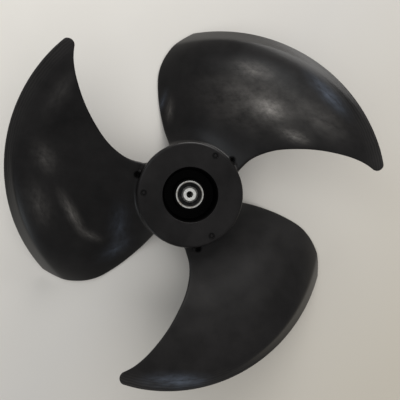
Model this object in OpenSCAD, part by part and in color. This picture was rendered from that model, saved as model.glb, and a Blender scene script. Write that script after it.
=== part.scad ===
// Propeller fan with swept blades: one plastic moulding around a rubber-damped shaft bush.
// The fan lies with its inlet side up. Heights are taken up from the surface it rests on,
// and the finished parts are then lowered so that the bush's upper face is at z = 0.

/* [Fan] */
// Diameter swept by the blades
fan_d = 420; // [380:5:460]
// Height of the blade tips above the surface that the fan rests on
fan_h = 127; // [115:1:145]
// Number of blades
blade_n = 3; // [2:1:4]

/* [Blade] */
// Angle from a blade's tip to its trailing corner
blade_wrap = 83; // [76:1:86]
// Height of the leading edge at the hub
lead_root_h = 62; // [54:1:66]
// Height of the trailing edge at the hub
trail_root_h = 24; // [20:1:34]
// Height of the blade's trailing corner
corner_h = 4; // [1:0.5:10]
// Blade thickness at the hub
root_t = 4.2; // [3:0.1:5.5]
// Blade thickness at the outer edge
tip_t = 2.4; // [1.8:0.1:3.2]
// Radius of the rounded blade tip
tip_r = 6.5; // [4:0.5:9]
// Fillet between blade and hub
root_fillet = 5; // [2:0.5:8]
// Diameter of the core post beside the blade's leading root
post_d = 3.4; // [2:0.2:5]
// Diameter of the pocket next to the post
pocket_d = 4.4; // [3:0.2:6]
// Width of the turned lip at the trailing corner
lip_w = 17; // [10:0.5:22]
// How far the lip drops away from the inlet side at the trailing corner
lip_drop = 8; // [3:0.5:12]

/* [Hub] */
// Outer diameter of the hub at its open rim
hub_d = 128; // [118:1:140]
// Height of the hub
hub_h = 74; // [68:1:84]
// Gap between the hub's rim and the surface that the fan rests on
hub_gap = 4; // [2:0.5:8]
// Wall thickness of the hub
hub_wall = 3.2; // [2.6:0.1:4]
// Draft of the hub's outer wall, in degrees
hub_draft = 1.5; // [0.5:0.1:1.8]
// Rounding of the inlet face's outer edge
hub_round = 3.5; // [1.5:0.25:5]
// Diameter of the recess in the inlet face
recess_d = 65; // [58:1:74]
// Depth of the recess
recess_depth = 32; // [26:1:38]
// Number of ribs under the hub
rib_n = 9; // [6:3:12]
// Thickness of a rib
rib_t = 2.2; // [1.6:0.1:3]

/* [Gate marks] */
// Diameter of the ring that the three gate marks lie on
gate_ring_d = 108; // [90:1:112]
// Diameter of a gate mark's shallow dish
gate_d = 6.4; // [4:0.2:8]
// Depth of the dish
gate_depth = 0.8; // [0.4:0.1:1.2]

/* [Shaft bush] */
// Bore for the motor shaft
bore_d = 8; // [6:0.5:10]
// Outside diameter of the bush
bush_d = 15.4; // [14:0.2:17]
// Length of the bush
bush_l = 30; // [27:0.5:34]
// Diameter of the shoulder below the bush's upper face
shoulder_d = 19.4; // [18.5:0.1:21]
// Drop from the bush's upper face to the shoulder's rim
shoulder_drop = 2.4; // [1.5:0.1:4]
// Depth of the bush's upper face below the inlet face
bush_drop = 11; // [8:0.5:14]

/* [Damper] */
// Outside diameter of the steel sleeve
sleeve_d = 33; // [31:0.5:36]
// Wall of the steel sleeve
sleeve_wall = 2.3; // [1.6:0.1:3]
// Length of the steel sleeve
sleeve_l = 23; // [20:0.5:25]
// Depth of the rubber below the sleeve's ends
rubber_inset = 2.6; // [1:0.2:4]
// Plastic around the sleeve
boss_wall = 3; // [2:0.1:4]

/* [Hidden] */
$fn = 96;

fan_r = fan_d / 2;
hub_top = hub_gap + hub_h;
hub_taper = hub_h * tan(hub_draft);
hub_top_r = hub_d / 2 - hub_taper;
root_r = hub_top_r - hub_wall / 2;
recess_r = recess_d / 2;
floor_z = hub_top - recess_depth;
bush_top = hub_top - bush_drop;
sleeve_top = bush_top - 0.6;
sleeve_low = sleeve_top - sleeve_l;
boss_r = sleeve_d / 2 + boss_wall;
boss_top = sleeve_top - 1;
boss_low = sleeve_low - hub_wall;
recess_taper = 2;

// Design sections of a blade, from the hub wall (0) to the outer edge (1)
SPAN = [0, 0.14, 0.3, 0.5, 0.7, 0.87, 1];
// Plan angle of the leading and the trailing edge, in shares of the blade's wrap from its tip
LEAD_AT = [0.235, 0.301, 0.289, 0.222, 0.147, 0.077, 0];
TRAIL_AT = [1.277, 1.273, 1.255, 1.225, 1.182, 1.103, 1];
// Rise of the leading edge from its root (0) to the tip's height (1)
LEAD_RISE = [0, 0.08, 0.25, 0.52, 0.77, 0.93, 1];
// Sag of the trailing edge from its root (1) to the resting height (0)
TRAIL_SAG = [1, 0.42, 0.12, 0.01, 0, 0, 0];
// Lift of the trailing edge from the resting height (0) to the corner's bend (1)
TRAIL_LIFT = [0, 0, 0, 0.03, 0.16, 0.52, 1];
// Camber: 0 is a straight ramp between the edges, 1 leaves the leading edge level
CAMBER = [0.35, 0.42, 0.52, 0.66, 0.8, 0.88, 0.92];
// Plan angle of the first blade's tip
tip_at = 4;
// Share of the chord, from the tip, over which the lip has not begun
lip_start = 0.06;
// Sharpness of the lip's bend, as a share of the lip's width
bend_soft = 0.25;

// Grid of a blade's mesh: distances from an edge that round it, then even steps
edge_in = [0, 0.35, 1.3];
// Rows of the mesh in the flare, in shares of its radius
FLARE_AT = [0.1, 0.3, 0.6];
chord_steps = 22;
span_steps = 12;

function clamp01(x) = min(1, max(0, x));
function mix(a, b, t) = a + (b - a) * t;

// Smooth curve through stations, with each slope taken from the neighbours
function step_of(xs, x, i = 0) = i >= len(xs) - 2 || x <= xs[i + 1] ? i : step_of(xs, x, i + 1);
function slope_at(xs, ys, i) =
    let (a = max(0, i - 1), b = min(len(xs) - 1, i + 1))
    (ys[b] - ys[a]) / (xs[b] - xs[a]);
function curve(xs, ys, x) =
    let (i = step_of(xs, x), h = xs[i + 1] - xs[i], t = (x - xs[i]) / h)
    (2 * pow(t, 3) - 3 * t * t + 1) * ys[i] + (pow(t, 3) - 2 * t * t + t) * h * slope_at(xs, ys, i)
    + (3 * t * t - 2 * pow(t, 3)) * ys[i + 1] + (pow(t, 3) - t * t) * h * slope_at(xs, ys, i + 1);

function share(r) = (r - root_r) / (fan_r - root_r);
function lead_line(r) = tip_at + blade_wrap * curve(SPAN, LEAD_AT, share(r));
function trail_line(r) = tip_at + blade_wrap * curve(SPAN, TRAIL_AT, share(r));

// The tip's round touches the outer circle and the leading edge, which leans by tip_lean there
tip_lean = atan((lead_line(fan_r - 3 * tip_r) - lead_line(fan_r - tip_r)) * PI / 180 * fan_r / (2 * tip_r));
round_from = fan_r - tip_r * (1 + sin(tip_lean));
round_at = lead_line(round_from) + cos(tip_lean) * tip_r / round_from * 180 / PI;
function lead_angle(r) = r < round_from
    ? lead_line(r)
    : round_at - sqrt(max(0, pow(tip_r, 2) - pow(r - fan_r + tip_r, 2))) / r * 180 / PI;

// Outer wall of the hub at a height, and at the height where a blade's chord share x meets it
function wall_r(z) = hub_d / 2 - (z - hub_gap) * tan(hub_draft);
function wall_at(x) = wall_r(mix(lead_root_h, trail_root_h, x));
// Concave flare by which a blade runs into the hub wall
function flare(r, x) =
    let (u = clamp01((r - wall_at(x)) / root_fillet))
    root_fillet * (1 - sqrt(1 - pow(1 - u, 2)));

// Middle surface of a blade at radius r and share x of the chord, from the leading edge
function lip_width(x) = lip_w * sin(90 * clamp01((x - lip_start) / (1 - lip_start)));
function lip_height(r, x) =
    let (w = lip_width(x), d = r - fan_r + w)
    -lip_drop / lip_w * (d + sqrt(d * d + pow(bend_soft * w, 2))) / 2;
function lead_height(s) = mix(lead_root_h, fan_h, curve(SPAN, LEAD_RISE, s)) - tip_t / 2;
function trail_height(s) =
    trail_root_h * curve(SPAN, TRAIL_SAG, s)
    + (corner_h + lip_drop) * curve(SPAN, TRAIL_LIFT, s);
function blade_mid(r, x) =
    let (
        s = share(r),
        f = flare(r, x) * 0.6 / r * 180 / PI,
        a = mix(lead_angle(r) - f, trail_line(r) + f, x),
        c = curve(SPAN, CAMBER, s),
        z = mix(lead_height(s), trail_height(s), x * (1 - c + c * x))
    )
    [r * cos(a), r * sin(a), z + lip_height(r, x)];
function unit(v) = v / norm(v);
function blade_normal(r, x) =
    let (
        dx = x < 0.5 ? 0.002 : -0.002,
        dr = r < fan_r - 1 ? 0.2 : -0.2,
        n = unit(cross(blade_mid(r + dr, x) - blade_mid(r, x), blade_mid(r, x + dx) - blade_mid(r, x)))
    )
    n * sign(n[2]);
// Direction in which thickness is laid on: square to the surface, but along the wall at the hub
function skin_dir(r, x) =
    let (
        n = blade_normal(r, x),
        p = blade_mid(r, x),
        out = [p[0], p[1], 0] / r,
        k = clamp01(1 - (r - wall_at(x)) / (3 * root_fillet))
    )
    unit(n - k * (n * out) * out);

// Half thickness: thinner outwards, rounded towards the edges, flared into the hub
function rounding(e, t) = sqrt(max(0, 1 - pow(1 - min(1, e / t), 2)));
function half_thick(r, x, edge) =
    let (t = mix(root_t, tip_t, share(r)) / 2, f = flare(r, x))
    (t + f) * rounding(edge, t + f / 2);

function chord_of(r) = (trail_line(r) - lead_angle(r)) * PI / 180 * r;
function chord_shares(r) =
    let (c = chord_of(r), a = edge_in[2] / c)
    [
        0, edge_in[1] / c,
        for (i = [0 : chord_steps]) mix(a, 1 - a, i / chord_steps),
        1 - edge_in[1] / c, 1
    ];
col_n = chord_steps + 5;

// Radii along a column: out of the hub, to the bend, across the lip, and round the outer edge
function lip_rows(x) = max(lip_width(x), 2 * tip_r);
function radii(x) =
    let (w = lip_rows(x), bend = fan_r - w, wall = wall_at(x), open = wall + root_fillet)
    [
        wall - hub_wall / 2, wall - 0.1,
        for (u = FLARE_AT) wall + u * root_fillet,
        for (j = [0 : span_steps]) mix(open, bend - 6, j / span_steps),
        bend - 2.6, bend - 0.9, bend + 0.9, bend + 2.6,
        mix(bend, fan_r, 0.42), mix(bend, fan_r, 0.66), mix(bend, fan_r, 0.84),
        fan_r - edge_in[2], fan_r - edge_in[1], fan_r
    ];
row_n = span_steps + 13 + len(FLARE_AT);
outer_thin = 0.35;

function skin(i, j, side) =
    let (
        x0 = i / (col_n - 1),
        r = radii(x0)[j],
        x = chord_shares(r)[i],
        edge = min(x, 1 - x) * chord_of(r),
        h = j == row_n - 1 ? outer_thin * half_thick(fan_r, x, edge)
            : j == row_n - 2 ? half_thick(r, x, edge) * rounding(edge_in[1], tip_t / 2)
            : half_thick(r, x, edge)
    )
    blade_mid(r, x) + side * h * skin_dir(r, x);

// Each row of points runs over the upper skin and back under the lower one
ring_n = 2 * (col_n - 1);
function ring(j) = [
    for (i = [0 : col_n - 1]) skin(i, j, 1),
    for (i = [col_n - 2 : -1 : 1]) skin(i, j, -1)
];
function ring_face(j, k) =
    let (a = j * ring_n + k, b = j * ring_n + (k + 1) % ring_n)
    [[a, b, a + ring_n], [b, b + ring_n, a + ring_n]];
function end_face(j, i, flip) =
    let (a = j * ring_n + i, b = a + 1, d = j * ring_n + (ring_n - i) % ring_n, c = j * ring_n + ring_n - i - 1)
    i == 0 ? [flip ? [a, b, c] : [a, c, b]]
    : i == col_n - 2 ? [flip ? [a, b, d] : [a, d, b]]
    : flip ? [[a, b, c], [a, c, d]] : [[a, c, b], [a, d, c]];

module blade() {
    points = [for (j = [0 : row_n - 1]) each ring(j)];
    sides = [for (j = [0 : row_n - 2], k = [0 : ring_n - 1]) each ring_face(j, k)];
    inner = [for (i = [0 : col_n - 2]) each end_face(0, i, false)];
    outer = [for (i = [0 : col_n - 2]) each end_face(row_n - 1, i, true)];
    polyhedron(points = points, faces = concat(sides, inner, outer), convexity = 6);
}

// Small core post beside each blade's leading root, and the pocket next to it
post_x = 0.12;
pocket_x = 0.16;
module on_blade(r, x) {
    translate(blade_mid(r, x)) children();
}
module core_posts() {
    post_h = 4;
    on_blade(wall_at(post_x) + post_d * 0.75, post_x)
        cylinder(d = post_d, h = root_t / 2 + root_fillet / 2 + post_h);
}
module core_pockets() {
    on_blade(wall_at(pocket_x) + pocket_d * 0.8, pocket_x)
        cylinder(d = pocket_d, h = root_t + root_fillet + 6);
}

// Hub: a drafted cup, open below, with a deep recess that holds the damper's boss
module hub_shell() {
    r_low = hub_d / 2;
    corner_r = hub_top_r - hub_round;
    wall_in = hub_wall / cos(hub_draft);
    rotate_extrude()
        polygon([
            [r_low, hub_gap],
            [hub_top_r + hub_round * tan(hub_draft), hub_top - hub_round],
            for (a = [10 : 10 : 90]) [corner_r + hub_round * cos(a), hub_top - hub_round + hub_round * sin(a)],
            [recess_r, hub_top],
            [recess_r - recess_taper, floor_z],
            [boss_r, floor_z],
            [boss_r - 0.6, boss_top],
            [sleeve_d / 2, boss_top],
            [sleeve_d / 2, sleeve_low],
            [shoulder_d / 2 + 1, sleeve_low],
            [shoulder_d / 2 + 1, boss_low],
            [boss_r, boss_low],
            [boss_r, floor_z - hub_wall],
            [recess_r - recess_taper + hub_wall, floor_z - hub_wall],
            [recess_r + hub_wall, hub_top - hub_wall],
            [hub_top_r - wall_in, hub_top - hub_wall],
            [r_low - wall_in, hub_gap]
        ]);
}

// Ribs under the hub, from the boss out to the wall
module hub_ribs() {
    rib_low = boss_low + 2;
    for (k = [0 : rib_n - 1])
        rotate(360 / rib_n * (k + 0.5))
            rotate([90, 0, 0])
                linear_extrude(height = rib_t, center = true)
                    polygon([
                        [boss_r - 1, rib_low],
                        [boss_r - 1, floor_z - hub_wall / 2],
                        [recess_r + 1, floor_z - hub_wall / 2],
                        [recess_r + 1, hub_top - hub_wall / 2],
                        [hub_top_r - hub_wall / 2, hub_top - hub_wall / 2],
                        [root_r, rib_low - 14]
                    ]);
}

// Shallow dishes with a round pip, where the moulding was gated
module gate_dishes() {
    for (k = [0 : 2])
        rotate(57 + 120 * k)
            translate([gate_ring_d / 2, 0, hub_top - gate_depth])
                difference() {
                    cylinder(d = gate_d, h = gate_depth + 1);
                    translate([0, 0, -1])
                        cylinder(d = gate_d * 0.42, h = gate_depth + 0.8);
                }
}

module in_frame() {
    translate([0, 0, -bush_top]) children();
}

module impeller() {
    color([0.09, 0.09, 0.095])
        in_frame()
            difference() {
                union() {
                    hub_shell();
                    hub_ribs();
                    for (k = [0 : blade_n - 1])
                        rotate(360 / blade_n * k) {
                            blade();
                            core_posts();
                        }
                }
                gate_dishes();
                for (k = [0 : blade_n - 1])
                    rotate(360 / blade_n * k)
                        core_pockets();
            }
}

// Steel sleeve pressed into the boss
module sleeve() {
    color([0.72, 0.72, 0.7])
        in_frame()
            translate([0, 0, sleeve_low])
                difference() {
                    cylinder(d = sleeve_d, h = sleeve_l);
                    translate([0, 0, -1])
                        cylinder(d = sleeve_d - 2 * sleeve_wall, h = sleeve_l + 2);
                }
}

// Rubber bonded between the sleeve and the bush
module rubber_damper() {
    r_out = sleeve_d / 2 - sleeve_wall;
    low = sleeve_low + rubber_inset;
    high = sleeve_top - rubber_inset;
    color([0.05, 0.05, 0.05])
        in_frame()
            rotate_extrude()
                polygon([
                    [bush_d / 2, low - 1],
                    [r_out, low],
                    [r_out, high],
                    [bush_d / 2 + 2.6, high - 1.2],
                    [bush_d / 2, high - 1.2]
                ]);
}

// Turned bush that the motor shaft passes through
module shaft_bush() {
    shoulder_z = bush_top - shoulder_drop;
    rim = 0.5;
    color([0.8, 0.8, 0.78])
        in_frame()
            rotate_extrude()
                polygon([
                    [bore_d / 2, bush_top - bush_l],
                    [bush_d / 2, bush_top - bush_l],
                    [bush_d / 2, shoulder_z - rim - 1.2],
                    [shoulder_d / 2, shoulder_z - rim],
                    [shoulder_d / 2, shoulder_z],
                    [bush_d / 2, bush_top - 0.3],
                    [bush_d / 2 - 0.3, bush_top],
                    [bore_d / 2, bush_top]
                ]);
}

impeller();
sleeve();
rubber_damper();
shaft_bush();
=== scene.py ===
import math

import bmesh
import bpy
import numpy as np
from mathutils import Matrix, Vector


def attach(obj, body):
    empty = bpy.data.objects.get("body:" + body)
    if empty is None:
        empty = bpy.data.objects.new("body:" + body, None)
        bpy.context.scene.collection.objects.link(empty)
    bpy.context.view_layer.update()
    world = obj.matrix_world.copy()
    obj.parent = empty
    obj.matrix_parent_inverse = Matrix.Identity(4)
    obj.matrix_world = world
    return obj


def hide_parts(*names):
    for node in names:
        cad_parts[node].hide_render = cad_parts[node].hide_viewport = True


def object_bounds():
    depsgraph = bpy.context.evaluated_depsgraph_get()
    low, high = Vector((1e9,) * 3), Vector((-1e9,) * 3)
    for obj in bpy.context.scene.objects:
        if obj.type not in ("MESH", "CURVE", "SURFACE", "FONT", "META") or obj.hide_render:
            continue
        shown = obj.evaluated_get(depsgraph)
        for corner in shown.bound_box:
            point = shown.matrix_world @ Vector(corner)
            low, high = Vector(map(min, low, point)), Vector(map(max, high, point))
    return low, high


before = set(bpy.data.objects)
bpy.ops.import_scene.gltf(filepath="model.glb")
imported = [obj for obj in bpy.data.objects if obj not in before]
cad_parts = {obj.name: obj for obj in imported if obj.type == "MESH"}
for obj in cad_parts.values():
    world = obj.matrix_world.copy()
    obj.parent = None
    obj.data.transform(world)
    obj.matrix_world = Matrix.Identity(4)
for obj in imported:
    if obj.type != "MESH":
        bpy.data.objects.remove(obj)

cad_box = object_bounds()
scene = bpy.context.scene
scene.view_settings.view_transform = "Standard"

# Camera: held a little to the left of the shaft and 0.6 m above the table, looking
# almost straight down at the inlet side.
camera_data = bpy.data.cameras.new("camera")
camera_data.sensor_width = 36.0
camera_data.lens = 40.5
camera_data.shift_x = 0.0135
camera_data.shift_y = -0.0365
camera_data.clip_start = 0.01
camera_data.clip_end = 20.0
camera = bpy.data.objects.new("camera", camera_data)
camera_place = (-0.0353, 0.0175, 0.5309)
camera_turn = Vector((math.radians(-0.71), math.radians(-4.42), math.radians(-0.37)))
camera.matrix_world = (
    Matrix.Translation(camera_place)
    @ Matrix.Rotation(camera_turn.length, 4, camera_turn.normalized())
)
scene.collection.objects.link(camera)
scene.camera = camera

# Table: a wide pale top that the fan rests on with its three trailing edges. It is painted board with
# a faint mottle. Its colour falls off from pale on one side to darker and warmer on the other, painted
# light.
table_top = cad_box[0].z
table_half = 4.0
table_mesh = bpy.data.meshes.new("table")
table_mesh.from_pydata(
    [(x * table_half, y * table_half, table_top) for x, y in ((-1, -1), (1, -1), (1, 1), (-1, 1))],
    [], [(0, 1, 2, 3)],
)
table = bpy.data.objects.new("table", table_mesh)
scene.collection.objects.link(table)


def start_material(name, colour, roughness, specular, metallic=0.0):
    """New material, returned with its nodes, links and main shader."""
    material = bpy.data.materials.new(name)
    material.use_nodes = True
    nodes, links = material.node_tree.nodes, material.node_tree.links
    shader = nodes["Principled BSDF"]
    shader.inputs["Base Color"].default_value = (*colour, 1)
    shader.inputs["Roughness"].default_value = roughness
    shader.inputs["Specular IOR Level"].default_value = specular
    shader.inputs["Metallic"].default_value = metallic
    return material, nodes, links, shader


def placed(nodes, links, kind, place=(0, 0, 0), turn=0.0, size=(1, 1, 1)):
    """Object coordinates, laid into a frame with its own place, turn in degrees and size."""
    coords = nodes.new("ShaderNodeTexCoord")
    frame_of = nodes.new("ShaderNodeMapping")
    frame_of.vector_type = kind
    frame_of.inputs["Location"].default_value = place
    frame_of.inputs["Rotation"].default_value = (0, 0, math.radians(turn))
    frame_of.inputs["Scale"].default_value = size
    links.new(coords.outputs["Object"], frame_of.inputs["Vector"])
    return frame_of.outputs["Vector"]


def noise(nodes, links, vector, scale, detail=3.0, rough=0.5):
    """Noise between 0 and 1 on the given coordinates."""
    cloud = nodes.new("ShaderNodeTexNoise")
    cloud.inputs["Scale"].default_value = scale
    cloud.inputs["Detail"].default_value = detail
    cloud.inputs["Roughness"].default_value = rough
    links.new(vector, cloud.inputs["Vector"])
    return cloud.outputs["Fac"]


def ramp(nodes, links, value, *stops):
    """Colours over a value, as (position, colour) stops."""
    band = nodes.new("ShaderNodeValToRGB")
    points = band.color_ramp.elements
    while len(points) < len(stops):
        points.new(0.5)
    for point, (position, colour) in zip(points, stops):
        point.position = position
        point.color = (*colour, 1)
    links.new(value, band.inputs["Fac"])
    return band.outputs["Color"]


def spread(nodes, links, value, low, high):
    """A value from 0 to 1, stretched to run from low to high."""
    span = nodes.new("ShaderNodeMapRange")
    span.inputs["To Min"].default_value = low
    span.inputs["To Max"].default_value = high
    links.new(value, span.inputs["Value"])
    return span.outputs["Result"]


def blend(nodes, links, share, first, second):
    """Mix of a pattern's colour and a plain colour, by a share between 0 and 1."""
    mix = nodes.new("ShaderNodeMix")
    mix.data_type = "RGBA"
    colours = [socket for socket in mix.inputs if socket.type == "RGBA"]
    links.new(share, mix.inputs[0])
    links.new(first, colours[0])
    colours[1].default_value = (*second, 1)
    return next(socket for socket in mix.outputs if socket.type == "RGBA")


table_paint, nodes, links, shader = start_material("table_paint", (0.65, 0.62, 0.58), 0.75, 0.2)
across = placed(nodes, links, "POINT", place=(0.5, 0, 0), turn=38, size=(1.3, 1.3, 1.3))
fall = nodes.new("ShaderNodeTexGradient")
links.new(across, fall.inputs["Vector"])
# Painted light: pale on one side, falling off to darker and warmer on the other.
painted_falloff = ramp(
    nodes, links, fall.outputs["Fac"],
    (0.0, (0.82, 0.79, 0.74)), (0.5, (0.66, 0.64, 0.61)), (1.0, (0.63, 0.585, 0.505)),
)
mottle = noise(nodes, links, placed(nodes, links, "POINT"), 9.0, 5.0)
mottle_share = spread(nodes, links, mottle, -0.1, 0.22)
links.new(blend(nodes, links, mottle_share, painted_falloff, (0.58, 0.55, 0.51)), shader.inputs["Base Color"])
table_mesh.materials.append(table_paint)

# Light: a plain grey room with one large soft window beyond the top of the picture,
# two weaker soft panels to the left, and a broad ceiling light that casts no glare.
room = bpy.data.worlds.new("room")
scene.world = room
room.use_nodes = True
room.node_tree.nodes["Background"].inputs["Color"].default_value = (0.97, 0.99, 1.0, 1)
room.node_tree.nodes["Background"].inputs["Strength"].default_value = 0.20
for name, azimuth, elevation, distance, width, height, radiance, tint, glare in (
    ("window", 76, 22, 1.6, 1.15, 1.15, 4.6, (1.0, 0.985, 0.96), True),
    ("left_panel", 138, 50, 1.6, 0.6, 0.5, 1.8, (0.85, 0.93, 1.0), True),
    ("low_panel", 226, 14, 1.6, 0.5, 0.5, 1.8, (0.85, 0.93, 1.0), True),
    ("ceiling", 0, 90, 2.0, 2.4, 2.4, 1.33, (1.0, 0.99, 0.97), False),
):
    panel_data = bpy.data.lights.new(name, "AREA")
    panel_data.shape = "RECTANGLE"
    panel_data.size, panel_data.size_y = width, height
    panel_data.energy = radiance * math.pi * width * height
    panel_data.color = tint
    panel = bpy.data.objects.new(name, panel_data)
    a, e = math.radians(azimuth), math.radians(elevation)
    toward = Vector((math.cos(a) * math.cos(e), math.sin(a) * math.cos(e), math.sin(e)))
    panel.location = toward * distance + Vector((0, 0, table_top))
    panel.rotation_euler = toward.to_track_quat("Z", "Y").to_euler()
    panel.visible_glossy = glare
    scene.collection.objects.link(panel)

# Black plastic of the one-piece moulding: semi-gloss with a fine grain, dulled by a thin grey film.
# Hands have left cloudy streaks on two blades; their pale colour is partly painted highlight, the
# window's light scattered by the smears. A painted bluish reflection lies near some edges. Each is at
# its own place in metres as (place, turn, length and width, strength).
# Smears on the blades; their pale colour is partly painted highlight.
PALE_SMEARS_AND_HIGHLIGHTS = (
    ((0.093, 0.100), -35, (0.032, 0.020), 1.00),
    ((0.075, 0.146), -22, (0.042, 0.019), 0.55),
    ((0.118, 0.067), -25, (0.030, 0.012), 0.60),
    ((0.080, 0.112), -20, (0.098, 0.062), 0.42),
    ((0.142, 0.085), -38, (0.062, 0.030), 0.24),
    ((-0.022, 0.108), 85, (0.026, 0.009), 0.30),
    ((-0.160, 0.042), -70, (0.030, 0.021), 0.22),
    ((-0.138, -0.022), -68, (0.044, 0.011), 0.50),
    ((-0.120, -0.050), -30, (0.024, 0.010), 0.28),
    ((-0.172, -0.010), -80, (0.046, 0.022), 0.20),
    ((-0.139, 0.110), 55, (0.045, 0.016), 0.10),
)
# Places of the painted bluish reflection of the window near some edges.
PAINTED_BLUE_REFLECTIONS = (
    ((0.151, 0.113), -52, (0.050, 0.013), 1.00),
    ((-0.031, 0.120), 70, (0.024, 0.007), 0.55),
    ((-0.086, -0.040), 82, (0.046, 0.020), 0.42),
    ((-0.092, -0.070), 35, (0.036, 0.016), 0.50),
    ((-0.018, -0.198), -7, (0.055, 0.013), 1.00),
)
film_dark, film_light = (0.0050, 0.0045, 0.0045), (0.0135, 0.0124, 0.0124)
# Pale colour of the smears and rub lines, partly painted highlight, and colour of the painted bluish
# reflection.
pale_marks_and_highlight_colour, painted_reflection_colour = (0.290, 0.272, 0.255), (0.090, 0.107, 0.140)
# Colour of the painted shade in the gate moats, the root pockets and the recess.
painted_shade_colour = (0.0015, 0.0014, 0.0014)
BLACK, HALF, WHITE = (0, 0, 0), (0.55, 0.55, 0.55), (1, 1, 1)
mm = 0.001
thirds = (0, 120, 240)
# Places of the gate marks and root pockets, the reach of the painted shade around them and over the
# recess, and the reach of the rub lines on the lip, in millimetres.
gate_ring_r, gate_angle, gate_shade_r = 54.0, 57, 5.0
root_ring_r, root_angle, root_shade_r = 66.2, 38.7, 5.5
recess_shade_r, lip_dirt_r = 32.7, 212.0


def calculate(nodes, links, operation, first, second):
    """One sum or product of two patterns."""
    step = nodes.new("ShaderNodeMath")
    step.operation = operation
    links.new(first, step.inputs[0])
    links.new(second, step.inputs[1])
    return step.outputs["Value"]


def ball(nodes, links, vector, kind="SPHERICAL"):
    """Value that falls from 1 at the middle of a frame to 0 at its unit sphere."""
    fade = nodes.new("ShaderNodeTexGradient")
    fade.gradient_type = kind
    links.new(vector, fade.inputs["Vector"])
    return fade.outputs["Fac"]


def add_up(nodes, links, patterns):
    """Sum of several patterns."""
    total = patterns[0]
    for pattern in patterns[1:]:
        total = calculate(nodes, links, "ADD", total, pattern)
    return total


def patches(nodes, links, spots):
    """Soft streaky patches that lie along the given turns, added to one pattern."""
    done = []
    for place, turn, size, strength in spots:
        over = placed(nodes, links, "TEXTURE", (*place, 0), turn, (*size, 1.0))
        streaks = noise(nodes, links, over, 3.2, 8.0, 0.72)
        uneven = spread(nodes, links, streaks, -0.8 * strength, 2.0 * strength)
        soft = ball(nodes, links, over, "QUADRATIC_SPHERE")
        done.append(calculate(nodes, links, "MULTIPLY", soft, uneven))
    return add_up(nodes, links, done)


def round_marks(nodes, links, from_shaft, angle, reach, *stops):
    """A round mark, with its tones from rim to middle, at three places about the shaft.
    Its distance from the shaft and its reach are in millimetres."""
    done = []
    for third in thirds:
        a = math.radians(angle + third)
        place = (from_shaft * mm * math.cos(a), from_shaft * mm * math.sin(a), 0)
        over = placed(nodes, links, "TEXTURE", place, 0, (reach * mm, reach * mm, 1.0))
        done.append(ramp(nodes, links, ball(nodes, links, over), *stops))
    return add_up(nodes, links, done)


def roughen(nodes, links, shader, height, depth, strength=1.0):
    """Bump of the given depth in metres."""
    bump = nodes.new("ShaderNodeBump")
    bump.inputs["Strength"].default_value = strength
    bump.inputs["Distance"].default_value = depth
    links.new(height, bump.inputs["Height"])
    links.new(bump.outputs["Normal"], shader.inputs["Normal"])


black, nodes, links, shader = start_material("black_plastic", film_dark, 0.32, 0.3)
plain = placed(nodes, links, "POINT")
film = noise(nodes, links, plain, 16.0, 9.0, 0.72)
body = ramp(nodes, links, film, (0.32, film_dark), (0.68, film_light))

# Painted shade: darker colour and less gloss in the moats of the dished gate marks, in the pockets at
# the blades' roots and over the recess, where shade falls.
gate_shade = round_marks(
    nodes, links, gate_ring_r, gate_angle, gate_shade_r,
    (0.12, BLACK), (0.30, HALF), (0.68, HALF), (0.78, BLACK),
)
root_shade = round_marks(
    nodes, links, root_ring_r, root_angle, root_shade_r, (0.0, BLACK), (0.40, WHITE)
)
in_recess = ball(nodes, links, placed(
    nodes, links, "TEXTURE", size=(recess_shade_r * mm, recess_shade_r * mm, 1.0)
))
recess_shade = ramp(nodes, links, in_recess, (0.0, BLACK), (0.03, WHITE))
painted_shade = add_up(nodes, links, [gate_shade, root_shade, recess_shade])
body = blend(nodes, links, painted_shade, body, painted_shade_colour)
links.new(spread(nodes, links, painted_shade, 0.3, 0.06), shader.inputs["Specular IOR Level"])

# Fine lines that run round along the turned lip, where the blades have rubbed.
rub = nodes.new("ShaderNodeTexWave")
rub.wave_type = "RINGS"
rub.rings_direction = "Z"
rub.inputs["Scale"].default_value = 120.0
rub.inputs["Distortion"].default_value = 3.0
links.new(plain, rub.inputs["Vector"])
to_rim = ball(nodes, links, placed(
    nodes, links, "TEXTURE", size=(lip_dirt_r * mm, lip_dirt_r * mm, 0.6)
))
on_lip = ramp(nodes, links, to_rim, (0.02, (0.05, 0.05, 0.05)), (0.085, BLACK))
lip_lines = calculate(nodes, links, "MULTIPLY", rub.outputs["Fac"], on_lip)

marks_and_highlight = add_up(nodes, links, [patches(nodes, links, PALE_SMEARS_AND_HIGHLIGHTS), lip_lines])
painted_reflection = patches(nodes, links, PAINTED_BLUE_REFLECTIONS)
# The body is paled by the smears and rub lines, partly painted highlight.
colour = blend(nodes, links, marks_and_highlight, body, pale_marks_and_highlight_colour)
# Painted reflection: a bluish tint near some edges, where the window is reflected.
links.new(blend(nodes, links, painted_reflection, colour, painted_reflection_colour), shader.inputs["Base Color"])
worn = calculate(nodes, links, "ADD", marks_and_highlight, film)
links.new(spread(nodes, links, worn, 0.24, 0.42), shader.inputs["Roughness"])
grain = noise(nodes, links, plain, 1500.0, 2.0)
roughen(nodes, links, shader, grain, 0.00005, 0.5)

# Hub: the middle of the moulding, a drafted cup that is open below. Its flat face has a
# deep round recess with the boss that holds the damper, and three gate marks. Revolved.
bush_top = 67.0
hub_low_r, hub_top_r, hub_top, hub_gap, hub_wall = 64.0, 62.06, 78.0, 4.0, 3.2
recess_r, recess_draft, floor_z, boss_r, boss_draft, boss_top = 32.5, 2.0, 46.0, 19.5, 0.6, 65.4
sleeve_r, sleeve_low, boss_low, relief_r = 16.5, 43.4, 40.2, 10.7


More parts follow.
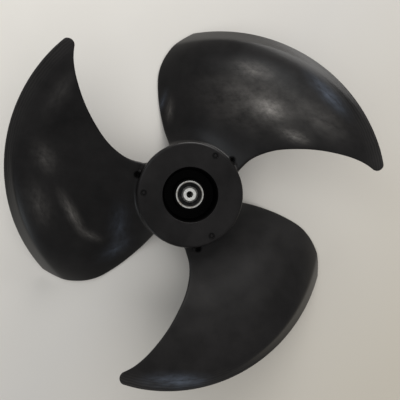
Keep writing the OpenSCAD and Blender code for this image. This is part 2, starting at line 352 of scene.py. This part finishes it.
def soften(profile, steps=6, hold=0.3):
    """Round the marked corners of a closed profile of (r, z, radius) points. A point just
    outside each arc holds the flat beside it, so that it shades flat."""
    done = []
    n = len(profile)
    for i, (r, z, radius) in enumerate(profile):
        p = np.array((r, z), float)
        if radius <= 0:
            done.append(tuple(p))
            continue
        before = np.array(profile[i - 1][:2], float) - p
        after = np.array(profile[(i + 1) % n][:2], float) - p
        u, v = before / np.linalg.norm(before), after / np.linalg.norm(after)
        half = math.acos(np.clip(u @ v, -1, 1)) / 2
        reach = radius / math.tan(half)
        centre = p + (u + v) / np.linalg.norm(u + v) * radius / math.sin(half)
        a, b = p + u * reach - centre, p + v * reach - centre
        whole = math.acos(np.clip(a @ b / radius ** 2, -1, 1))
        done.append(tuple(p + u * (reach + hold * radius)))
        for k in range(steps + 1):
            t = k / steps
            w = (math.sin((1 - t) * whole) * a + math.sin(t * whole) * b) / math.sin(whole)
            done.append(tuple(centre + w))
        done.append(tuple(p + v * (reach + hold * radius)))
    return done


def smooth(mesh, sharp=40):
    """Smooth shading, except across edges sharper than the given degrees."""
    mesh.shade_smooth()
    mesh.set_sharp_from_angle(angle=math.radians(sharp))


def to_object(name, form):
    """Object of a finished bmesh, with its faces turned outwards."""
    bmesh.ops.recalc_face_normals(form, faces=form.faces)
    mesh = bpy.data.meshes.new(name)
    form.to_mesh(mesh)
    form.free()
    smooth(mesh)
    piece = bpy.data.objects.new(name, mesh)
    scene.collection.objects.link(piece)
    return piece


def revolve(name, profile, sides=160, at=(0, 0)):
    """Turn a closed profile in millimetres about an upright axis into a shell."""
    form = bmesh.new()
    rings = []
    for r, z in soften(profile):
        ring = []
        for k in range(sides):
            a = 2 * math.pi * k / sides
            ring.append(form.verts.new((
                (at[0] + r * math.cos(a)) * mm, (at[1] + r * math.sin(a)) * mm, (z - bush_top) * mm,
            )))
        rings.append(ring)
    for ring, other in zip(rings, rings[1:] + rings[:1]):
        for k in range(sides):
            form.faces.new((ring[k], ring[(k + 1) % sides], other[(k + 1) % sides], other[k]))
    return to_object(name, form)


def around_shaft():
    """Node tree that repeats a piece evenly about the shaft axis."""
    tree = bpy.data.node_groups.new("around_shaft", "GeometryNodeTree")
    for name, kind in (
        ("Geometry", "Geometry"), ("Count", "Int"), ("First Angle", "Float"), ("Material", "Material"),
    ):
        tree.interface.new_socket(name, in_out="INPUT", socket_type="NodeSocket" + kind)
    tree.interface.new_socket("Geometry", in_out="OUTPUT", socket_type="NodeSocketGeometry")
    given = tree.nodes.new("NodeGroupInput")
    made = tree.nodes.new("NodeGroupOutput")
    spots = tree.nodes.new("GeometryNodeMeshLine")
    spots.inputs["Offset"].default_value = (0, 0, 0)
    index = tree.nodes.new("GeometryNodeInputIndex")
    step = tree.nodes.new("ShaderNodeMath")
    step.operation = "DIVIDE"
    step.inputs[0].default_value = 2 * math.pi
    angle = tree.nodes.new("ShaderNodeMath")
    angle.operation = "MULTIPLY_ADD"
    axis = tree.nodes.new("ShaderNodeCombineXYZ")
    place = tree.nodes.new("GeometryNodeInstanceOnPoints")
    real = tree.nodes.new("GeometryNodeRealizeInstances")
    paint = tree.nodes.new("GeometryNodeSetMaterial")
    for source, target in (
        (given.outputs["Count"], spots.inputs["Count"]),
        (given.outputs["Count"], step.inputs[1]),
        (index.outputs[0], angle.inputs[0]),
        (step.outputs[0], angle.inputs[1]),
        (given.outputs["First Angle"], angle.inputs[2]),
        (angle.outputs[0], axis.inputs["Z"]),
        (spots.outputs["Mesh"], place.inputs["Points"]),
        (given.outputs["Geometry"], place.inputs["Instance"]),
        (axis.outputs[0], place.inputs["Rotation"]),
        (place.outputs["Instances"], real.inputs["Geometry"]),
        (real.outputs["Geometry"], paint.inputs["Geometry"]),
        (given.outputs["Material"], paint.inputs["Material"]),
        (paint.outputs["Geometry"], made.inputs["Geometry"]),
    ):
        tree.links.new(source, target)
    return tree


repeat_tree = around_shaft()


def settle(piece, sharp=40):
    """Leave the result of a piece's modifiers as its plain mesh."""
    seen = piece.evaluated_get(bpy.context.evaluated_depsgraph_get())
    mesh = bpy.data.meshes.new_from_object(seen)
    piece.modifiers.clear()
    piece.data = mesh
    smooth(mesh, sharp)


def repeat_round(piece, count, first_angle, material, sharp=40):
    """Repeat a piece about the shaft axis."""
    extra = piece.modifiers.new("around_shaft", "NODES")
    extra.node_group = repeat_tree
    key = {s.name: s.identifier for s in repeat_tree.interface.items_tree if s.in_out == "INPUT"}
    extra[key["Count"]] = count
    extra[key["First Angle"]] = math.radians(first_angle)
    extra[key["Material"]] = material
    settle(piece, sharp)


def cut(piece, tool, sharp=40):
    """Take the form of a tool out of a piece and drop the tool."""
    extra = piece.modifiers.new("cut", "BOOLEAN")
    extra.operation = "DIFFERENCE"
    extra.solver = "EXACT"
    extra.object = tool
    settle(piece, sharp)
    bpy.data.objects.remove(tool)


hub = revolve("hub", [
    (hub_low_r, hub_gap, 0.5),
    (hub_top_r, hub_top, 3.5),
    (recess_r, hub_top, 0.5),
    (recess_r - recess_draft, floor_z, 1.2),
    (boss_r, floor_z, 0.8),
    (boss_r - boss_draft, boss_top, 0.4),
    (sleeve_r, boss_top, 0.3),
    (sleeve_r, sleeve_low, 0),
    (relief_r, sleeve_low, 0),
    (relief_r, boss_low, 0.3),
    (boss_r, boss_low, 0.5),
    (boss_r, floor_z - hub_wall, 0.5),
    (recess_r - recess_draft + hub_wall, floor_z - hub_wall, 1.0),
    (recess_r + hub_wall, hub_top - hub_wall, 1.0),
    (hub_top_r - hub_wall, hub_top - hub_wall, 1.5),
    (hub_low_r - hub_wall, hub_gap, 0.5),
])
hub.data.materials.append(black)
gate_r, gate_depth, pip_r, pip_drop = 3.2, 0.8, 1.35, 0.2
axis_r = 0.02
dishes = revolve("dishes", [
    (axis_r, hub_top + 1, 0),
    (gate_r, hub_top + 1, 0),
    (gate_r, hub_top - gate_depth, 0.3),
    (pip_r, hub_top - gate_depth, 0.2),
    (pip_r, hub_top - pip_drop, 0.2),
    (axis_r, hub_top - pip_drop, 0),
], sides=32, at=(gate_ring_r, 0))
repeat_round(dishes, 3, gate_angle, black)
cut(hub, dishes)
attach(hub, "root")
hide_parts("impeller")

# Ribs: nine radial walls of the same moulding under the hub, from the boss to the cup's
# wall, with a lower edge that slopes down outwards. One flat plate, repeated.
rib_n, rib_t, rib_low, rib_slope = 9, 2.2, 42.2, 14.0


def plate(name, outline, thick):
    """Flat upright plate with its outline in (r, z) millimetres."""
    form = bmesh.new()
    sides = []
    for y in (-thick / 2, thick / 2):
        sides.append([form.verts.new((r * mm, y * mm, (z - bush_top) * mm)) for r, z in outline])
    form.faces.new(sides[0])
    form.faces.new(sides[1][::-1])
    for i in range(len(outline)):
        form.faces.new((sides[0][i - 1], sides[1][i - 1], sides[1][i], sides[0][i]))
    return to_object(name, form)


ribs = plate("ribs", [
    (boss_r - 1, rib_low),
    (boss_r - 1, floor_z - hub_wall / 2),
    (recess_r + 1, floor_z - hub_wall / 2),
    (recess_r + 1, hub_top - hub_wall / 2),
    (hub_top_r - hub_wall / 2, hub_top - hub_wall / 2),
    (hub_top_r - hub_wall / 2, rib_low - rib_slope),
], rib_t)
repeat_round(ribs, rib_n, 180 / rib_n, black)
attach(ribs, "root")
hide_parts("impeller")

# Blades: three broad swept blades of the same moulding. Each falls from a high rounded
# tip to its trailing edge, flares into the hub wall, and its outer edge turns down into
# a lip that widens towards the trailing corner. Lofted from sections by rule.
fan_r, fan_h, blade_wrap, tip_at = 210.0, 127.0, 83.0, 4.0
root_t, tip_t, tip_r, root_fillet = 4.2, 2.4, 6.5, 5.0
lip_w, lip_drop, lip_start, bend_soft = 17.0, 8.0, 0.06, 0.08
lead_root_h, trail_root_h, corner_h = 62.0, 24.0, 4.0
root_r = hub_top_r - hub_wall / 2
hub_draft = 1.5
SPAN = np.array([0, 0.14, 0.3, 0.5, 0.7, 0.87, 1])
LEAD_AT = np.array([0.235, 0.301, 0.289, 0.222, 0.147, 0.077, 0])
TRAIL_AT = np.array([1.277, 1.273, 1.255, 1.225, 1.182, 1.103, 1])
LEAD_RISE = np.array([0, 0.08, 0.25, 0.52, 0.77, 0.93, 1])
TRAIL_SAG = np.array([1, 0.42, 0.12, 0.01, 0, 0, 0])
TRAIL_LIFT = np.array([0, 0, 0, 0.03, 0.16, 0.52, 1])
CAMBER = np.array([0.35, 0.42, 0.52, 0.66, 0.8, 0.88, 0.92])


def curve(values, s):
    """Smooth curve through the stations at SPAN."""
    slope = np.empty(len(SPAN))
    for i in range(len(SPAN)):
        a, b = max(0, i - 1), min(len(SPAN) - 1, i + 1)
        slope[i] = (values[b] - values[a]) / (SPAN[b] - SPAN[a])
    i = np.clip(np.searchsorted(SPAN, s, side="left") - 1, 0, len(SPAN) - 2)
    h = SPAN[i + 1] - SPAN[i]
    t = (s - SPAN[i]) / h
    return (
        (2 * t ** 3 - 3 * t ** 2 + 1) * values[i] + (t ** 3 - 2 * t ** 2 + t) * h * slope[i]
        + (3 * t ** 2 - 2 * t ** 3) * values[i + 1] + (t ** 3 - t ** 2) * h * slope[i + 1]
    )


def share(r):
    """Share of the blade's length at radius r, from 0 inside the hub wall to 1 at the rim."""
    return (r - root_r) / (fan_r - root_r)


def lead_line(r):
    """Angle of the leading edge at radius r, before the tip is rounded."""
    return tip_at + blade_wrap * curve(LEAD_AT, share(r))


def trail_line(r):
    """Angle of the trailing edge at radius r."""
    return tip_at + blade_wrap * curve(TRAIL_AT, share(r))


tip_fall = lead_line(fan_r - 3 * tip_r) - lead_line(fan_r - tip_r)
tip_lean = math.atan(math.radians(tip_fall) * fan_r / (2 * tip_r))
round_from = fan_r - tip_r * (1 + math.sin(tip_lean))
round_at = lead_line(round_from) + math.degrees(math.cos(tip_lean) * tip_r / round_from)


def lead_angle(r):
    """Angle of the leading edge at radius r, with the tip's round corner."""
    drop = np.sqrt(np.maximum(0, tip_r ** 2 - (r - fan_r + tip_r) ** 2))
    return np.where(r < round_from, lead_line(r), round_at - np.degrees(drop / r))


def wall_at(x):
    """Radius of the hub's drafted wall where the blade's root meets it."""
    z = lead_root_h + (trail_root_h - lead_root_h) * x
    return hub_low_r - (z - hub_gap) * math.tan(math.radians(hub_draft))


def flare(r, x):
    """Extra thickness of the round fillet between blade and hub wall."""
    u = np.clip((r - wall_at(x)) / root_fillet, 0, 1)
    return root_fillet * (1 - np.sqrt(np.maximum(0, 1 - (1 - u) ** 2)))


def lip_width(x):
    """Width of the turned lip, from nothing near the tip to its full width."""
    return lip_w * np.sin(np.pi / 2 * np.clip((x - lip_start) / (1 - lip_start), 0, 1))


def middle(r, x):
    """Middle surface of a blade at radius r and share x of the chord from the leading edge."""
    s = share(r)
    f = np.degrees(flare(r, x) * 0.6 / r)
    lead, trail = lead_angle(r) - f, trail_line(r) + f
    a = np.radians(lead + (trail - lead) * x)
    c = curve(CAMBER, s)
    high = lead_root_h + (fan_h - lead_root_h) * curve(LEAD_RISE, s) - tip_t / 2
    low = trail_root_h * curve(TRAIL_SAG, s) + (corner_h + lip_drop) * curve(TRAIL_LIFT, s)
    w = lip_width(x)
    d = r - fan_r + w
    lip = -lip_drop / lip_w * (d + np.sqrt(d * d + (bend_soft * w) ** 2)) / 2
    z = high + (low - high) * x * (1 - c + c * x) + lip
    return np.stack([r * np.cos(a), r * np.sin(a), z], -1)


def square_to(r, x):
    """Direction of thickness: square to the surface, but along the wall at the hub."""
    dx = np.where(x < 0.5, 0.002, -0.002)
    dr = np.where(r < fan_r - 1, 0.2, -0.2)
    here = middle(r, x)
    n = np.cross(middle(r + dr, x) - here, middle(r, x + dx) - here)
    n *= np.sign(n[..., 2:3]) / np.linalg.norm(n, axis=-1, keepdims=True)
    out = here * (1, 1, 0) / r[..., None]
    k = np.clip(1 - (r - wall_at(x)) / (3 * root_fillet), 0, 1)[..., None]
    n = n - k * np.sum(n * out, -1, keepdims=True) * out
    return n / np.linalg.norm(n, axis=-1, keepdims=True)


def blade(name):
    """One blade: a grid of sections, thick at the root, with round edges all round."""
    edge_in = np.array([0, 0.05, 0.18, 0.4, 0.75, 1.25, 2.0])
    columns = 2 * len(edge_in) + 60
    column_at = np.arange(columns)
    x0 = column_at / (columns - 1)
    bend = fan_r - np.maximum(lip_width(x0), 2 * tip_r)
    wall = wall_at(x0)
    open_r = wall + root_fillet
    rows = [wall - hub_wall / 2, wall - 0.1]
    rows += [wall + u * root_fillet for u in (0.03, 0.09, 0.18, 0.3, 0.45, 0.62, 0.8)]
    rows += [open_r + (bend - 12 - open_r) * j / 34 for j in range(35)]
    rows += [bend + d for d in (-9.5, -7.5, -5.8, -4.3, -3, -2, -1, 0, 1, 2, 3)]
    rows += [bend + 3 + (fan_r - 4.3 - bend) * t for t in (0.2, 0.4, 0.6, 0.8)]
    rim = [1.2, 0.8, 0.5, 0.25, 0.08, 0]
    rows += [fan_r - d + 0 * x0 for d in rim]
    r = np.array(rows)
    chord = np.radians(trail_line(r) - lead_angle(r)) * r
    x = np.empty_like(r)
    n = len(edge_in)
    inner = (column_at[n:-n] - n + 1) / (columns - 2 * n + 1)
    for j in range(len(r)):
        a = edge_in[-1] / chord[j]
        x[j, :n] = edge_in / chord[j, :n]
        x[j, n:-n] = a[n:-n] + (1 - 2 * a[n:-n]) * inner
        x[j, -n:] = 1 - edge_in[::-1] / chord[j, -n:]
    edge = np.minimum(x, 1 - x) * chord
    t = (root_t + (tip_t - root_t) * share(r)) / 2
    f = flare(r, x)
    half = (t + f) * np.sqrt(np.maximum(0, 1 - (1 - np.minimum(1, edge / (t + f / 2))) ** 2))
    for k, d in enumerate(rim):
        u = min(1, d / (tip_t / 2))
        half[len(r) - len(rim) + k] *= math.sqrt(1 - (1 - u) ** 2)
    mid, off = middle(r, x), half[..., None] * square_to(r, x)
    form = bmesh.new()
    skins = []
    for points in (mid + off, mid - off):
        skins.append([[form.verts.new((p - (0, 0, bush_top)) * mm) for p in row] for row in points])
    for j in range(len(r) - 1):
        for i in range(columns - 1):
            for skin in skins:
                form.faces.new((skin[j][i], skin[j][i + 1], skin[j + 1][i + 1], skin[j + 1][i]))
    for i in range(columns - 1):
        form.faces.new((skins[0][0][i], skins[0][0][i + 1], skins[1][0][i + 1], skins[1][0][i]))
    bmesh.ops.remove_doubles(form, verts=form.verts, dist=1e-6)
    return to_object(name, form)


blades = blade("blades")
pocket_r, pocket_x, pocket_off = 2.2, 0.16, 3.52
pocket_at = middle(wall_at(pocket_x) + pocket_off, pocket_x)
pocket = revolve("pocket", [
    (axis_r, pocket_at[2], 0),
    (pocket_r, pocket_at[2], 0.3),
    (pocket_r, hub_top + 2, 0),
    (axis_r, hub_top + 2, 0),
], sides=32, at=pocket_at[:2])
cut(blades, pocket, sharp=60)
repeat_round(blades, 3, 0, black, sharp=60)
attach(blades, "root")
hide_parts("impeller")

# Core posts: a short round stud of the same moulding on the root of each blade, close
# to the hub wall, beside the core pocket. Revolved about its own axis and repeated.
post_r, post_h, post_x, post_off = 1.7, 8.6, 0.12, 2.55
post_at = middle(wall_at(post_x) + post_off, post_x)
posts = revolve("core_posts", [
    (axis_r, post_at[2], 0),
    (post_r, post_at[2], 0),
    (post_r, post_at[2] + post_h, 0.3),
    (axis_r, post_at[2] + post_h, 0),
], sides=32, at=post_at[:2])
repeat_round(posts, 3, 0, black)
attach(posts, "root")
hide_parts("impeller")

# Sleeve: a short piece of drawn steel tube, pressed into the boss. Its end is coloured bright only in
# a thin band along the outer edge and darker inside it and down its side, a painted highlight on the
# edge; the dull skin has faint lines and a few brownish spots.
sleeve_in, sleeve_top = 14.2, 66.4
sleeve = revolve("sleeve_tube", [
    (sleeve_r, sleeve_low, 0.3),
    (sleeve_r, sleeve_top, 0.5),
    (sleeve_in, sleeve_top, 0.5),
    (sleeve_in, sleeve_low, 0.3),
])
steel, nodes, links, shader = start_material("sleeve_steel", (0.70, 0.69, 0.66), 0.42, 0.5, 0.6)
plain = placed(nodes, links, "POINT")
across = ball(nodes, links, placed(nodes, links, "TEXTURE", size=(0.018, 0.018, 1.0)))
# Painted highlight: a thin bright band along the outer edge of the end, darker colour inside it and
# down the side.
tone = ramp(
    nodes, links, across,
    (0.085, (0.34, 0.33, 0.32)), (0.10, (0.82, 0.81, 0.78)),
    (0.145, (0.74, 0.73, 0.70)), (0.180, (0.20, 0.19, 0.18)),
)
rust = ramp(nodes, links, noise(nodes, links, plain, 260.0, 4.0), (0.50, BLACK), (0.75, WHITE))
links.new(blend(nodes, links, rust, tone, (0.30, 0.25, 0.20)), shader.inputs["Base Color"])
drawn = noise(nodes, links, placed(nodes, links, "POINT", size=(1, 1, 0.02)), 1400.0, 2.0)
links.new(spread(nodes, links, drawn, 0.34, 0.52), shader.inputs["Roughness"])
roughen(nodes, links, shader, drawn, 0.00003, 0.6)
sleeve.data.materials.append(steel)
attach(sleeve, "root")
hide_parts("sleeve")

# Damper: black rubber moulded between the sleeve and the bush, lower in the middle than
# at the sleeve. Matt, with a fine grain and a little dust.
bush_r, dip_r, rubber_inset, dip_drop, under_rise = 7.7, 10.3, 2.6, 3.8, 1.6
damper = revolve("damper_ring", [
    (bush_r, sleeve_low + under_rise, 0),
    (sleeve_in, sleeve_low + rubber_inset, 0),
    (sleeve_in, sleeve_top - rubber_inset, 0),
    (dip_r, sleeve_top - dip_drop, 0.4),
    (bush_r, sleeve_top - dip_drop, 0),
])
rubber, nodes, links, shader = start_material("black_rubber", (0.008, 0.008, 0.008), 0.7, 0.2)
plain = placed(nodes, links, "POINT")
dust = noise(nodes, links, plain, 320.0, 4.0)
tone = ramp(nodes, links, dust, (0.45, (0.0060, 0.0060, 0.0062)), (0.75, (0.020, 0.019, 0.018)))
links.new(tone, shader.inputs["Base Color"])
links.new(spread(nodes, links, dust, 0.62, 0.82), shader.inputs["Roughness"])
roughen(nodes, links, shader, noise(nodes, links, plain, 2600.0, 2.0), 0.00008, 0.6)
damper.data.materials.append(rubber)
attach(damper, "root")
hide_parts("rubber_damper")

# Bush: turned aluminium that slides on the shaft, with a bright flat end face, a sloping shoulder
# whose colour is darkened as painted shade, and the fine rings that the turning tool left.
bore_r, bush_len = 4.0, 30.0
shoulder_r, shoulder_drop, shoulder_t, shoulder_fall = 9.7, 2.4, 0.5, 1.2
bush = revolve("bush", [
    (bore_r, bush_top - bush_len, 0.3),
    (bush_r, bush_top - bush_len, 0.3),
    (bush_r, bush_top - shoulder_drop - shoulder_t - shoulder_fall, 0),
    (shoulder_r, bush_top - shoulder_drop - shoulder_t, 0),
    (shoulder_r, bush_top - shoulder_drop, 0.1),
    (bush_r, bush_top, 0.3),
    (bore_r, bush_top, 0.3),
])
bright, nodes, links, shader = start_material("bush_metal", (0.86, 0.85, 0.82), 0.35, 0.5, 0.5)
plain = placed(nodes, links, "POINT")
rings = nodes.new("ShaderNodeTexWave")
rings.wave_type = "RINGS"
rings.rings_direction = "Z"
rings.inputs["Scale"].default_value = 900.0
rings.inputs["Distortion"].default_value = 0.8
links.new(plain, rings.inputs["Vector"])
across = ball(nodes, links, placed(nodes, links, "TEXTURE", size=(0.010, 0.010, 1.0)))
# Painted shade: the sloping shoulder and the body below it are coloured dark, while the end face stays
# bright.
tone = ramp(
    nodes, links, across,
    (0.05, (0.10, 0.10, 0.10)), (0.23, (0.17, 0.17, 0.16)), (0.27, (0.88, 0.87, 0.84)),
)
handled = ramp(nodes, links, noise(nodes, links, plain, 420.0, 3.0), (0.45, BLACK), (0.8, WHITE))
links.new(blend(nodes, links, handled, tone, (0.45, 0.44, 0.42)), shader.inputs["Base Color"])
links.new(spread(nodes, links, rings.outputs["Fac"], 0.28, 0.42), shader.inputs["Roughness"])
roughen(nodes, links, shader, rings.outputs["Fac"], 0.00002, 0.5)
bush.data.materials.append(bright)
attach(bush, "root")
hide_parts("shaft_bush")
